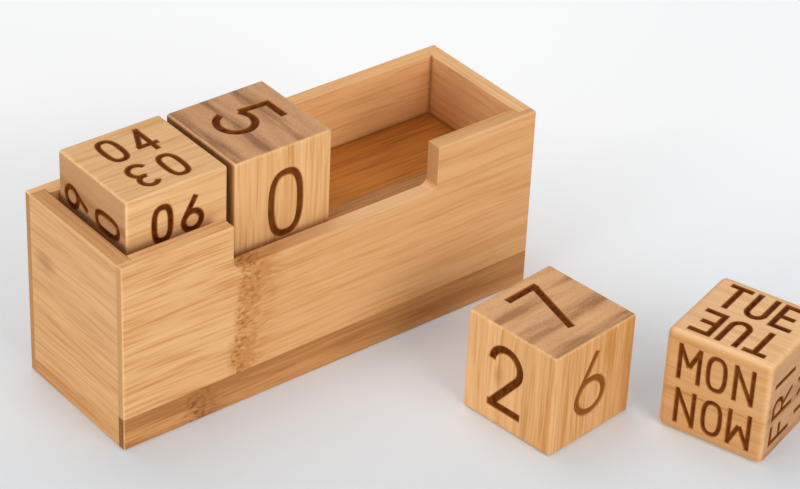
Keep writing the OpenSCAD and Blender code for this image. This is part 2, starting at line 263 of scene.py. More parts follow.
        tone = add(tree, "ShaderNodeMath", {0: starts, 1: PAST_SHARE, 2: tone}, operation="MULTIPLY_ADD")
    if skirt is not None:
        # Redder under a blurred line, and fainter again towards the table
        height, fall, first, last = skirt
        foot = add(tree, "ShaderNodeMath", {0: on_grain, 1: fall, 2: up}, operation="MULTIPLY_ADD")
        under = add(tree, "ShaderNodeMapRange", {
            "Value": foot, "From Min": height - SKIRT_BLUR, "From Max": height + SKIRT_BLUR,
            "To Min": 1, "To Max": 0,
        })
        faint = add(tree, "ShaderNodeMapRange", {
            "Value": foot, "From Min": height - SKIRT_FADE, "From Max": height, "To Min": 0.4, "To Max": 1,
        })
        under = add(tree, "ShaderNodeMath", {0: under, 1: faint}, operation="MULTIPLY")
        redder = add(tree, "ShaderNodeMapRange", {
            "Value": on_grain, "From Min": -END_HALF, "From Max": END_HALF, "To Min": first, "To Max": last,
        })
        tone = add(tree, "ShaderNodeMath", {0: under, 1: redder, 2: tone}, operation="MULTIPLY_ADD")
    if strips is not None:
        glued, glue_lines, strip_dark, glue_dark = strips
        across = place.outputs[glued]
        tone = add(tree, "ShaderNodeMath", {0: tone, 1: strip_dark[0]}, operation="ADD")
        for line, before, after in zip(glue_lines, strip_dark, strip_dark[1:]):
            above = add(tree, "ShaderNodeMath", {0: across, 1: line}, operation="GREATER_THAN")
            tone = add(tree, "ShaderNodeMath", {
                0: above, 1: after - before, 2: tone,
            }, operation="MULTIPLY_ADD")
    colour = add(tree, "ShaderNodeMix", {
        "Factor": tone, 6: linear(pale), 7: linear(deep),
    }, data_type="RGBA", clamp_factor=True).outputs[2]
    # Painted light and shade: faces square to the axis take their own colours, paler or darker than the rest
    if broad is not None:
        axis, broad_pale, broad_deep, *limit = broad
        square = add(tree, "ShaderNodeMapRange", {
            "Value": facing.outputs[axis], "From Min": BROAD_FROM[0], "From Max": BROAD_FROM[1],
        })
        for farthest in limit:
            before = add(tree, "ShaderNodeMath", {0: place.outputs[axis], 1: farthest}, operation="LESS_THAN")
            square = add(tree, "ShaderNodeMath", {0: square, 1: before}, operation="MULTIPLY")
        other = add(tree, "ShaderNodeMix", {
            "Factor": tone, 6: linear(broad_pale), 7: linear(broad_deep),
        }, data_type="RGBA", clamp_factor=True).outputs[2]
        colour = add(tree, "ShaderNodeMix", {
            "Factor": square, 6: colour, 7: other,
        }, data_type="RGBA").outputs[2]
    # Painted light: level faces below a height are painted paler, more so along the grain
    if lit_ledge is not None:
        top, first, last, share = lit_ledge
        level = add(tree, "ShaderNodeMapRange", {
            "Value": facing.outputs["Z"], "From Min": BROAD_FROM[0], "From Max": BROAD_FROM[1],
        })
        under = add(tree, "ShaderNodeMath", {0: up, 1: top}, operation="LESS_THAN")
        painted_ledge = add(tree, "ShaderNodeMapRange", {
            "Value": on_grain, "From Min": first, "From Max": last, "To Max": share,
        })
        painted_ledge = add(tree, "ShaderNodeMath", {0: painted_ledge, 1: level}, operation="MULTIPLY")
        painted_ledge = add(tree, "ShaderNodeMath", {0: painted_ledge, 1: under}, operation="MULTIPLY")
        colour = add(tree, "ShaderNodeMix", {
            "Factor": painted_ledge, 6: colour, 7: linear(LEDGE_LIGHT),
        }, data_type="RGBA").outputs[2]

    # The knuckle's dark pores, and a bud scar
    if knuckle is not None:
        pores = add(tree, "ShaderNodeVectorMath", {0: along, 1: PORES}, operation="DIVIDE")
        pores = add(tree, "ShaderNodeTexNoise", {
            "Vector": pores, "W": seed + 6, "Scale": 1, "Detail": 0.5,
        }, noise_dimensions="4D")
        pores = add(tree, "ShaderNodeMapRange", {"Value": pores, "From Min": 0.5, "From Max": 0.65})
        close = add(tree, "ShaderNodeMapRange", {
            "Value": past, "From Min": PORE_FADE[0], "From Max": PORE_FADE[1], "To Min": 0.7, "To Max": 0,
        }, interpolation_type="SMOOTHSTEP")
        close = add(tree, "ShaderNodeMath", {0: close, 1: starts}, operation="MULTIPLY")
        pores = add(tree, "ShaderNodeMath", {0: pores, 1: close}, operation="MULTIPLY")
        colour = add(tree, "ShaderNodeMix", {
            "Factor": pores, 6: colour, 7: linear(pore_colour),
        }, data_type="RGBA").outputs[2]
    if scar is not None:
        bud, reach, scar_dark = scar
        near = add(tree, "ShaderNodeVectorMath", {0: bent, 1: bud}, operation="SUBTRACT")
        near = add(tree, "ShaderNodeVectorMath", {0: near, 1: SCAR_SHAPE}, operation="MULTIPLY")
        near = add(tree, "ShaderNodeVectorMath", {0: near}, operation="LENGTH")
        near = add(tree, "ShaderNodeMapRange", {
            "Value": near.outputs["Value"], "From Min": 0.5, "From Max": reach,
            "To Min": scar_dark, "To Max": 0,
        }, interpolation_type="SMOOTHSTEP")
        colour = add(tree, "ShaderNodeMix", {
            "Factor": near, 6: colour, 7: linear(SCAR),
        }, data_type="RGBA").outputs[2]

    # Cut ends drink more oil, so they are duller, with soft dots. Each strip is denser on one side.
    ends = add(tree, "ShaderNodeMapRange", {
        "Value": facing.outputs[lengthwise],
        "From Min": CUT_FROM[0], "From Max": CUT_FROM[1], "To Max": 0.9,
    })
    dots = add(tree, "ShaderNodeVectorMath", {0: along, 1: DOTS}, operation="DIVIDE")
    dots = add(tree, "ShaderNodeTexNoise", {
        "Vector": dots, "W": seed + 7, "Scale": 1, "Detail": 1,
    }, noise_dimensions="4D")
    dense = add(tree, "ShaderNodeMapRange", {
        "Value": dots, "From Min": 0.35, "From Max": 0.65, "To Max": 0.2,
    })
    if strips is not None:
        bark = None
        for line in (*glue_lines, -EDGE / 2):
            side = add(tree, "ShaderNodeMath", {0: across, 1: -line}, operation="ADD")
            thick = add(tree, "ShaderNodeMapRange", {
                "Value": side, "From Min": BARK_FADE[0], "From Max": BARK_FADE[1], "To Min": 1, "To Max": 0,
            }, interpolation_type="SMOOTHSTEP")
            thin = add(tree, "ShaderNodeMapRange", {
                "Value": side, "From Min": BARK_START[0], "From Max": BARK_START[1],
            }, interpolation_type="SMOOTHSTEP")
            side = add(tree, "ShaderNodeMath", {0: thick, 1: thin}, operation="MULTIPLY")
            if bark is not None:
                side = add(tree, "ShaderNodeMath", {0: bark, 1: side}, operation="MAXIMUM")
            bark = side
        patch = [PATCH_LENGTH] * 3
        patch[("XYZ".index(glued) - lengthwise) % 3] = PATCH_WIDTH
        patchy = add(tree, "ShaderNodeVectorMath", {0: along, 1: patch}, operation="DIVIDE")
        patchy = add(tree, "ShaderNodeTexNoise", {
            "Vector": patchy, "W": seed + 8, "Scale": 1, "Detail": 2,
        }, noise_dimensions="4D")
        patchy = add(tree, "ShaderNodeMapRange", {
            "Value": patchy, "From Min": 0.3, "From Max": 0.72, "To Min": 0.1, "To Max": 1,
        })
        bark = add(tree, "ShaderNodeMath", {0: bark, 1: BARK_LEAST}, operation="ADD")
        dense = add(tree, "ShaderNodeMath", {
            0: bark, 1: patchy, 2: dense,
        }, operation="MULTIPLY_ADD", use_clamp=True)
    dull = add(tree, "ShaderNodeMix", {
        "Factor": dense, 6: linear(cut[0]), 7: linear(cut[1]),
    }, data_type="RGBA").outputs[2]
    colour = add(tree, "ShaderNodeMix", {"Factor": ends, 6: colour, 7: dull}, data_type="RGBA").outputs[2]

    # Glue lines of a cube, painted shade along the corners of the trough, and edges made paler, partly as
    # wear and partly as a painted highlight
    if strips is not None:
        whole = add(tree, "ShaderNodeMath", {0: ends, 1: -glue_dark, 2: glue_dark}, operation="MULTIPLY_ADD")
        for line in glue_lines:
            glue = add(tree, "ShaderNodeMath", {0: across, 1: -line}, operation="ADD")
            glue = add(tree, "ShaderNodeMath", {0: glue}, operation="ABSOLUTE")
            glue = add(tree, "ShaderNodeMapRange", {
                "Value": glue, "From Max": GLUE_HALF, "To Min": 1, "To Max": 0,
            })
            glue = add(tree, "ShaderNodeMath", {0: glue, 1: whole}, operation="MULTIPLY")
            colour = add(tree, "ShaderNodeMix", {
                "Factor": glue, 6: colour, 7: linear(GLUE),
            }, data_type="RGBA").outputs[2]
    if trough:
        # Two of the three distances to the trough's faces are small in a corner, so the middle one is
        # how far off the corner lies
        inset = add(tree, "ShaderNodeVectorMath", {0: local}, operation="ABSOLUTE")
        inset = add(tree, "ShaderNodeVectorMath", {0: inset, 1: TROUGH}, operation="SUBTRACT")
        buried = add(tree, "ShaderNodeSeparateXYZ", {"Vector": inset})
        buried = add(tree, "ShaderNodeMath", {
            0: buried.outputs["X"], 1: buried.outputs["Y"],
        }, operation="MAXIMUM")
        inset = add(tree, "ShaderNodeVectorMath", {0: inset}, operation="ABSOLUTE")
        inset = add(tree, "ShaderNodeSeparateXYZ", {"Vector": inset})
        sides = {0: inset.outputs["X"], 1: inset.outputs["Y"]}
        low = add(tree, "ShaderNodeMath", sides, operation="MINIMUM")
        high = add(tree, "ShaderNodeMath", sides, operation="MAXIMUM")
        high = add(tree, "ShaderNodeMath", {0: high, 1: inset.outputs["Z"]}, operation="MINIMUM")
        corner = add(tree, "ShaderNodeMath", {0: low, 1: high}, operation="MAXIMUM")
        # Painted shade: the wood is darkened towards each corner of the trough
        corner_darkening = add(tree, "ShaderNodeMapRange", {
            "Value": corner, "From Max": CORNER_SHADE_REACH, "To Min": 0.4, "To Max": 0,
        }, interpolation_type="SMOOTHSTEP")
        open_side = add(tree, "ShaderNodeMath", {0: buried, 1: CORNER_SHADE_DEPTH}, operation="LESS_THAN")
        corner_darkening = add(tree, "ShaderNodeMath", {0: corner_darkening, 1: open_side}, operation="MULTIPLY")
        colour = add(tree, "ShaderNodeMix", {
            "Factor": corner_darkening, 6: colour, 7: linear(CORNER_SHADE),
        }, data_type="RGBA").outputs[2]
    # Edges are painted paler where the surface turns, partly as wear and partly as a painted highlight
    flat = add(tree, "ShaderNodeMath", {0: facing.outputs["X"], 1: facing.outputs["Y"]}, operation="MAXIMUM")
    flat = add(tree, "ShaderNodeMath", {0: flat, 1: facing.outputs["Z"]}, operation="MAXIMUM")
    edge_wear_and_highlight = add(tree, "ShaderNodeMapRange", {
        "Value": flat, "From Min": 0.75, "From Max": 0.98, "To Min": 0.28, "To Max": 0,
    })
    colour = add(tree, "ShaderNodeMix", {
        "Factor": edge_wear_and_highlight, 6: colour, 7: linear(WEAR_AND_HIGHLIGHT),
    }, data_type="RGBA").outputs[2]

    # Satin oil that sinks in along the fibres
    rough = add(tree, "ShaderNodeMapRange", {"Value": fibres, "To Min": OIL_ROUGH[0], "To Max": OIL_ROUGH[1]})
    relief = add(tree, "ShaderNodeMath", {0: bundles, 1: -BUNDLE_SINK, 2: fibres}, operation="MULTIPLY_ADD")
    if burnt:
        # Figures burnt in: toasted where the iron was cool or lifted early, charred where it stayed
        char = add(tree, "ShaderNodeAttribute", attribute_name="burn").outputs["Fac"]
        heat = add(tree, "ShaderNodeVectorMath", {0: along, 1: HEAT}, operation="DIVIDE")
        heat = add(tree, "ShaderNodeTexNoise", {
            "Vector": heat, "W": seed + 9, "Scale": 1, "Detail": 3, "Roughness": 0.65,
        }, noise_dimensions="4D")
        heat = add(tree, "ShaderNodeMapRange", {"Value": heat, "From Min": 0.35, "From Max": 0.68})
        soot = add(tree, "ShaderNodeMix", {
            "Factor": heat, 6: linear(CHAR[0]), 7: linear(CHAR[1]),
        }, data_type="RGBA").outputs[2]
        toast = add(tree, "ShaderNodeMapRange", {"Value": char, "From Max": 0.6})
        colour = add(tree, "ShaderNodeMix", {
            "Factor": toast, 6: colour, 7: linear(TOAST),
        }, data_type="RGBA").outputs[2]
        charred = add(tree, "ShaderNodeMapRange", {"Value": char, "From Min": 0.5})
        colour = add(tree, "ShaderNodeMix", {
            "Factor": charred, 6: colour, 7: soot,
        }, data_type="RGBA").outputs[2]
        rough = add(tree, "ShaderNodeMix", {"Factor": char, 2: rough.outputs[0], 3: CHAR_ROUGH})
    bump = add(tree, "ShaderNodeBump", {"Strength": 0.35, "Distance": RELIEF, "Height": relief})
    shader = add(tree, "ShaderNodeBsdfPrincipled", {
        "Base Color": colour, "Roughness": rough, "Specular IOR Level": 0.12, "Normal": bump,
    })
    add(tree, "ShaderNodeOutputMaterial", {"Surface": shader})
    return material


# Which edges are eased and how much: those above a height, once doubles are welded and flat facets
# joined, where two faces meet at a sharp angle
EASED_ABOVE = 52 * MM
EASE = 0.45 * MM
WELD = 0.002 * MM
FLAT_ANGLE = math.radians(1)
SHARP_ANGLE = math.radians(60)


def eased(name, node):
    """A copy of a board with its sharp outer edges in the rim and notch rounded over, by a bevel."""
    bm = bmesh.new()
    bm.from_mesh(frame["nodes"][node].data)
    bmesh.ops.remove_doubles(bm, verts=bm.verts, dist=WELD)
    bmesh.ops.dissolve_limit(bm, angle_limit=FLAT_ANGLE, verts=bm.verts, edges=bm.edges)
    sharp = [
        e for e in bm.edges
        if len(e.link_faces) == 2 and e.calc_face_angle_signed() > SHARP_ANGLE
        and min(v.co.z for v in e.verts) > EASED_ABOVE
    ]
    bmesh.ops.bevel(bm, geom=sharp, offset=EASE, segments=3, profile=0.5, affect="EDGES", clamp_overlap=True)
    mesh = bpy.data.meshes.new(name)
    bm.to_mesh(mesh)
    bm.free()
    board = bpy.data.objects.new(name, mesh)
    bpy.context.collection.objects.link(board)
    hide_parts(node)
    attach(board, "box")
    return board


# Honey bamboo: to the eye long broken lines on the left of the knuckle, and calmer, browner wood on
# its right
front_light = bamboo(
    "honey_bamboo_front", "#ECBA84", "#C88A4E", ("#C6945F", "#A8764A"), "X", 1.0,
    lines=(0.6, 0.4), banding=0.4, drift=("X", -LONG_HALF, LONG_HALF, 0.15), lit_ledge=(60, -22, 10, 0.48),
    knuckle=(-45.5, 0.11, 0.7, "#92561F"))
front_board = eased("front_board", "front_upper_stave")
front_board.data.materials.append(front_light)

# Dark bamboo: to the eye a browner strip along the foot, darkest against the glue line
front_dark = bamboo(
    "dark_bamboo_front", "#E2A66B", "#AC7340", ("#86582E", "#684420"), "X", 2.0,
    lines=(0.7, 0.4), banding=0.7, drift=("Z", 3, 13, 0.4), knuckle=(-61, 0.0, 0.6, "#6A3A12"))
frame["nodes"]["front_lower_stave"].data.materials[0] = front_dark

# Back board: two staves of the same honey bamboo, glued level and planed. Its inner face is the
# back of the trough. To the eye it is even and warm, with a rim painted paler as painted light and
# painted shade in the corners.
BOARD_ENDS = ("#B4824E", "#94643A")

# Half the trough's length and depth and the height of its floor in mm, and the painted shade in its
# corners: how far it reaches from them, how deep into a joint, and its colour
TROUGH = (
    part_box("right_end_upper_stave")[0][0] / MM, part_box("back_upper_stave")[0][1] / MM,
    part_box("trough_floor_stave_1")[1][2] / MM,
)
CORNER_SHADE_REACH = 1.6
CORNER_SHADE_DEPTH = 0.3
CORNER_SHADE = "#6A3C18"
back_light = bamboo(
    "honey_bamboo_back", "#F2BC82", "#D29256", BOARD_ENDS, "X", 3.0,
    lines=(0.4, 0.4), broad=("Z", "#F8C48A", "#DC985B"), trough=True)
back_board = eased("back_board", "back_upper_stave")
back_board.data.materials.append(back_light)
back_low = bamboo(
    "honey_bamboo_back_low", "#F2BC7E", "#D09A5E", BOARD_ENDS, "X", 4.0,
    lines=(0.4, 0.4), trough=True)
frame["nodes"]["back_lower_stave"].data.materials[0] = back_low

# End boards: short staves with the grain running front to back, let in behind the lips of the long
# boards and sanded flush with them. To the eye the left one is greyer and has a bud scar by its
# rim, and the lower ones end in a narrow redder strip.
END_HALF = 29

# The blur of the redder strip in mm and how far down it fades, and a bud scar, which is longer along
# the grain
SKIRT_BLUR = 0.5
SKIRT_FADE = 8
SCAR = "#9C6C40"
SCAR_SHAPE = (0.6, 1, 1)
# The left rim is painted darker as painted shade, and the right rim paler as painted light.
end_light = {
    "left": bamboo(
        "honey_bamboo_left_end", "#E0AF7C", "#C48A53", BOARD_ENDS, "Y", 5.0,
        lines=(0.5, 0.5), broad=("Z", "#D8A36E", "#BD8149"), scar=((17.3, 50.2, -87), 5.5, 0.5),
        trough=True),
    "right": bamboo(
        "honey_bamboo_right_end", "#F2BF88", "#D2955A", BOARD_ENDS, "Y", 15.0,
        lines=(0.4, 0.4), broad=("Z", "#F8C791", "#D89C61"), trough=True),
}
end_low = bamboo(
    "honey_bamboo_end_low", "#E2AF7A", "#C2864D", BOARD_ENDS, "Y", 6.0,
    lines=(0.5, 0.5), skirt=(7.5, 0.06, 0.25, 0.6), trough=True)
for side in ("left", "right"):
    end_board = eased(side + "_end_board", side + "_end_upper_stave")
    end_board.data.materials.append(end_light[side])
    frame["nodes"][side + "_end_lower_stave"].data.materials[0] = end_low

# Trough floor: three staves of steamed bamboo, planed and let into grooves in the walls. Steam turns
# the wood toffee brown, so that to the eye the floor lies back behind the cubes. The front one is
# greyer than the other two.
FLOOR_ENDS = ("#8E5A2C", "#6E4420")
floor_dark = bamboo(
    "steamed_bamboo_floor", "#D08438", "#985A22", FLOOR_ENDS, "X", 7.0, lines=(0.45, 0.45), trough=True)
floor_grey = bamboo(
    "steamed_bamboo_floor_front", "#CE945C", "#94633B", FLOOR_ENDS, "X", 8.0, trough=True)
for i in (1, 2, 3):
    frame["nodes"][f"trough_floor_stave_{i}"].data.materials[0] = floor_grey if i == 1 else floor_dark

# Base: three plain staves that close the plinth from below, rough planed and never seen in use.
# To the eye they are the same honey wood, without marks.
base_plain = bamboo("plain_bamboo_base", "#E0B07E", "#C48C58", BOARD_ENDS, "X", 9.0)
for i in (1, 2, 3):
    frame["nodes"][f"base_stave_{i}"].data.materials[0] = base_plain

# Month cube: three layers of bamboo glued flat, so that the grain runs along the box. Two month
# numbers are burnt into each face, the lower one upside down. To the eye its sides are pale and
# level lined, and its figures dark brown with a toasted rim.
EDGE = 40.0
ROUNDING = 1.2

# Where the glue lines are and half their width in mm, how far the patches on cut ends run, and
# where the dense wood of the bark side starts and fades past a glue line
THIRDS = (-EDGE / 6, EDGE / 6)
GLUE_HALF = 0.35
GLUE = "#7A4A24"
PATCH_LENGTH = 22
PATCH_WIDTH = 3
BARK_START = (-3.2, 1.6)
BARK_FADE = (1, 7)
BARK_LEAST = 0.35

# Burnt strokes in mm: how deep they are, how far their walls and their scorch reach, how far the
# iron's heat varies along the grain and across it, and the colours of toasted and charred wood
FIGURE_DEPTH = 0.7
WALL = 0.8
SCORCH = 0.6
HEAT = (4, 20 / 9, 20 / 9)
TOAST = "#96541A"
CHAR = ("#4C2004", "#7E420E")
CHAR_ROUGH = 0.85

# Labels in mm: their height and stroke, how far from the face's middle they sit, and their spacing
LABEL_HEIGHT = 14.6
LABEL_STROKE = 1.9
LABEL_ROW = 9.0
MONTH_GAP = 3.6

# An oval's power, the least size that is divided by, and the cells across a face and its rounding
OVAL_POWER = 2.6
LEAST = 1e-6
CELLS = 118
ROUND_CELLS = 4

# Strokes in half heights: a bar has two ends and how far it runs on, in half strokes. A bow has a
# middle, a radius and two angles. An oval has its two half axes.
STROKES = {
    "0": [((0.5, 1),)],
    "1": [((0, -1), (0, 1), 1), ((0, 1), (-0.5, 0.5), 0)],
    "2": [((0, 0.47), 0.53, -45, 178), ((0.418, 0.144), (-0.5, -1), 0), ((-0.5, -1), (0.5, -1), 1)],
    "3": [((0, 0.53), 0.47, -110, 155), ((0, -0.45), 0.55, -155, 100)],
    "4": [((0.25, -1), (0.25, 1), 1), ((0.25, 1), (-0.5, -0.5), 0), ((-0.5, -0.5), (0.5, -0.5), 1)],
    "5": [
        ((0, -0.45), 0.55, -168, 138), ((-0.36, 0.9), (-0.42, -0.054), 0),
        ((-0.36, 0.9), (0.36, 0.9), 1),
    ],
    "6": [((0, -0.45), 0.55, 0, 360), ((0.2, 1), (-0.503, -0.227), 0)],
    "7": [((-0.5, 1), (0.5, 1), 1), ((0.5, 1), (-0.167, -1), 0.5)],
    "8": [((0, 0.53), 0.47, 0, 360), ((0, -0.45), 0.55, 0, 360)],
    "9": [((0, 0.45), 0.55, 0, 360), ((-0.2, -1), (0.503, 0.227), 0)],
}
# Across, up and out of each face: front, right, back, left, top, bottom
FACES = [
    ((1, 0, 0), (0, 0, 1), (0, -1, 0)), ((0, 1, 0), (0, 0, 1), (1, 0, 0)),
    ((-1, 0, 0), (0, 0, 1), (0, 1, 0)), ((0, -1, 0), (0, 0, 1), (-1, 0, 0)),
    ((1, 0, 0), (0, 1, 0), (0, 0, 1)), ((1, 0, 0), (0, -1, 0), (0, 0, -1)),
]


def off_character(character, x, y, height, stroke):
    """How far each point lies outside the strokes of a character about the origin; inside is negative.

    A bar is a box about its line: the larger of the overshoot along it and across it. A bow is the
    larger of the distance off its radius and the arc past its ends. An oval is a power curve with
    flatter sides than an ellipse, and the distance off it is taken as the overshoot of its power sum
    by its slope.
    """
    unit = (height - stroke) / 2
    pen = stroke / 2
    off = np.full(x.shape, np.inf)
    for mark in STROKES[character]:
        if len(mark) == 1:
            wide, tall = mark[0]
            p = np.abs(x) / (wide * unit)
            q = np.abs(y) / (tall * unit)
            ring = np.maximum((p ** OVAL_POWER + q ** OVAL_POWER) ** (1 / OVAL_POWER), LEAST)
            steep = OVAL_POWER - 1
            slope = np.hypot((p / ring) ** steep / wide, (q / ring) ** steep / tall) / unit
            outside = np.abs((ring - 1) / np.maximum(slope, LEAST)) - pen
        elif len(mark) == 3:
            first, last, run_on = mark
            start = np.multiply(first, unit)
            line = np.subtract(last, first) * unit
            length = np.hypot(*line)
            line = line / length
            on = (x - start[0]) * line[0] + (y - start[1]) * line[1] - length / 2
            by = (y - start[1]) * line[0] - (x - start[0]) * line[1]
            outside = np.maximum(np.abs(on) - length / 2 - run_on * pen, np.abs(by) - pen)
        else:
            middle, radius, first, last = mark
            right = x - middle[0] * unit
            above = y - middle[1] * unit
            outside = np.abs(np.hypot(right, above) - radius * unit) - pen
            if last - first < 360:
                turn = np.degrees(np.arctan2(above, right)) - (first + last) / 2
                past = np.abs((turn + 180) % 360 - 180) - (last - first) / 2
                outside = np.maximum(outside, np.radians(past) * radius * unit)
        off = np.minimum(off, outside)
    return off


def burnt_cube(name, body, faces, rounding, yaw, height, stroke, gap=0):
    """A cube with rounded edges and burnt figures, as six grids of two parameters.

    A grid point is taken to the nearest point of the inner cube, which is smaller by the rounding, and
    moved out from there by the rounding. Under a stroke it sinks by a rounded share of the depth.
    Characters of a label are half their height and a stroke apart, and by the gap.
    """
    nodes = frame["record"]["behaviour"]["bodies"][body]
    corners = np.array([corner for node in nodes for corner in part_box(node)]) / MM
    centre = (corners.min(0) + corners.max(0)) / 2
    half = EDGE / 2
    inner = half - rounding
    bend = inner + rounding * np.tan(np.radians(np.linspace(0, 45, ROUND_CELLS + 1)[1:]))
    line = np.concatenate([-bend[::-1], np.linspace(-inner, inner, CELLS + 1), bend])
    u, v = np.meshgrid(line, line, indexing="ij")
    count = len(line)
    index = np.arange(count * count).reshape(count, count)
    quad = np.stack([index[:-1, :-1], index[1:, :-1], index[1:, 1:], index[:-1, 1:]], -1).reshape(-1, 4)
    points = []
    burns = []
    quads = []
    for (across, up, out), (turn, shift, heat, spread, *words) in zip(FACES, faces):
        c = math.cos(math.radians(turn))
        s = math.sin(math.radians(turn))
        right = u - shift[0]
        above = v - shift[1]
        x = c * right + s * above
        y = c * above - s * right
        off = np.full(u.shape, np.inf)
        row = LABEL_ROW if len(words) == 2 else 0
        for word, way in zip(words, (1, -1)):
            for i, character in enumerate(word):
                place = (i - (len(word) - 1) / 2) * ((height + stroke) / 2 + gap)
                mark = off_character(character, way * x - place, way * y - row, height, stroke)
                off = np.minimum(off, mark)
        sink = np.clip(-off / WALL, 0, 1)
        sink = FIGURE_DEPTH * sink * sink * (3 - 2 * sink)
        flat = np.stack([u, v, np.full(u.shape, half)], -1)
        core = np.clip(flat, -inner, inner)
        away = flat - core
        spot = core + rounding * away / np.linalg.norm(away, axis=-1, keepdims=True)
        spot[..., 2] -= sink
        points.append(spot.reshape(-1, 3) @ np.array([across, up, out], float))
        burns.append(heat * np.clip((spread - off) / SCORCH, 0, 1).ravel())
        quads.append(quad + len(quads) * count * count)
    points, first, welded = np.unique(
        np.round(np.concatenate(points), 4), axis=0, return_index=True, return_inverse=True)
    c = math.cos(yaw)
    s = math.sin(yaw)
    points = points @ np.array([[c, s, 0], [-s, c, 0], [0, 0, 1]]) + centre
    mesh = bpy.data.meshes.new(name)
    mesh.from_pydata(points * MM, [], welded.ravel()[np.concatenate(quads)])
    burn = mesh.attributes.new("burn", "FLOAT", "POINT")
    burn.data.foreach_set("value", np.concatenate(burns)[first].astype(np.float32))
    mesh.polygons.foreach_set("use_smooth", np.ones(len(mesh.polygons), bool))
    cube = bpy.data.objects.new(name, mesh)
    bpy.context.collection.objects.link(cube)
    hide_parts(*nodes)
    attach(cube, body)
    return cube, tuple(centre * MM)


# Turn of the drawing on the face, how far it sits right and up, how hot the iron was, how far the
# scorch spreads past the stroke, and the figures
CENTRED = (0, 0)
FRONT_DROP = 2.0
MONTHS = [
    (0, (0, -FRONT_DROP), 1, 0.45, "06", "05"), (90, CENTRED, 1, 0.3, "10", "11"),
    (0, CENTRED, 1, 0.3, "12", "01"), (90, CENTRED, 1, 0.4, "09", "08"),
    (0, CENTRED, 0.9, 0.35, "04", "03"), (0, CENTRED, 1, 0.3, "07", "02"),
]
month_cube, middle = burnt_cube(
    "month_cube_block", "month_cube", MONTHS, ROUNDING, 0.0, LABEL_HEIGHT, LABEL_STROKE, MONTH_GAP)
month_cube.data.materials.append(bamboo(
    "burnt_bamboo_month", "#F0C28C", "#CE9458", ("#C8986A", "#A0744A"), "X", 11.0,
    lines=(0.4, 0.4), centre=middle, strips=("Z", THIRDS, (0.1, 0.05, 0.0), 0.25), burnt=True))

# First day cube: three upright strips of bamboo glued side by side, with one figure burnt into each
# face. To the eye its sides are upright lined, and the cut ends on top are dull, patchy stripes.
# The side towards the month cube is painted browner, as painted shade in the narrow gap between the two
# cubes.
DAY_HEIGHT = 27.0
DAY_STROKE = 3.1
SHADED_SIDE = 1 - EDGE / 2
FIRST_DAY = [
    (0, (1.2, -FRONT_DROP), 0.92, 0.0, "0"), (0, CENTRED, 1, 0.15, "4"), (0, CENTRED, 1, 0.15, "1"),
    (0, CENTRED, 1, 0.15, "3"), (-90, (1.5, 2.2), 1, 0.1, "5"), (0, CENTRED, 1, 0.15, "2"),
]
first_day_cube, middle = burnt_cube(
    "first_day_cube_block", "first_day_cube", FIRST_DAY, ROUNDING, 0.0, DAY_HEIGHT, DAY_STROKE)
first_day_cube.data.materials.append(bamboo(
    "burnt_bamboo_first_day", "#F0BF86", "#CC9052", ("#DFA97B", "#946648"), "Z", 12.0,
    lines=(0.4, 0.4), banding=0.6, broad=("X", "#B88450", "#8C5E34", SHADED_SIDE), centre=middle,
    strips=("X", THIRDS, (0.0, 0.1, -0.05), 0.2), burnt=True))

# Second day cube: made as the first, and taken out of the trough. It stands on the table in front
# of the box. To the eye it is like the first, browner to the right, with a bud scar on the left.
SECOND_YAW = math.radians(6.8)
SECOND_DAY = [
    (0, (-1.1, 2.0), 0.6, 0.05, "6"), (0, CENTRED, 1, 0.15, "8"), (0, CENTRED, 1, 0.15, "0"),
    (0, (-1.7, 0), 1, 0.15, "2"), (0, (0, 2.2), 1, 0.1, "7"), (0, CENTRED, 1, 0.15, "1"),
]
second_day_cube, middle = burnt_cube(
    "second_day_cube_block", "second_day_cube", SECOND_DAY, ROUNDING, SECOND_YAW, DAY_HEIGHT, DAY_STROKE)
second_day_cube.data.materials.append(bamboo(
    "burnt_bamboo_second_day", "#EEBD86", "#C68A4A", ("#EDB886", "#A4744E"), "Z", 23.0,
    lines=(0.4, 0.4), banding=0.65, drift=("X", 8, 17, 0.3), centre=middle, yaw=SECOND_YAW,
    scar=((0.5, -20, 4.5), 3.5, 0.4), strips=("Y", THIRDS, (0.2, 0.0, -0.1), 0.2), burnt=True))
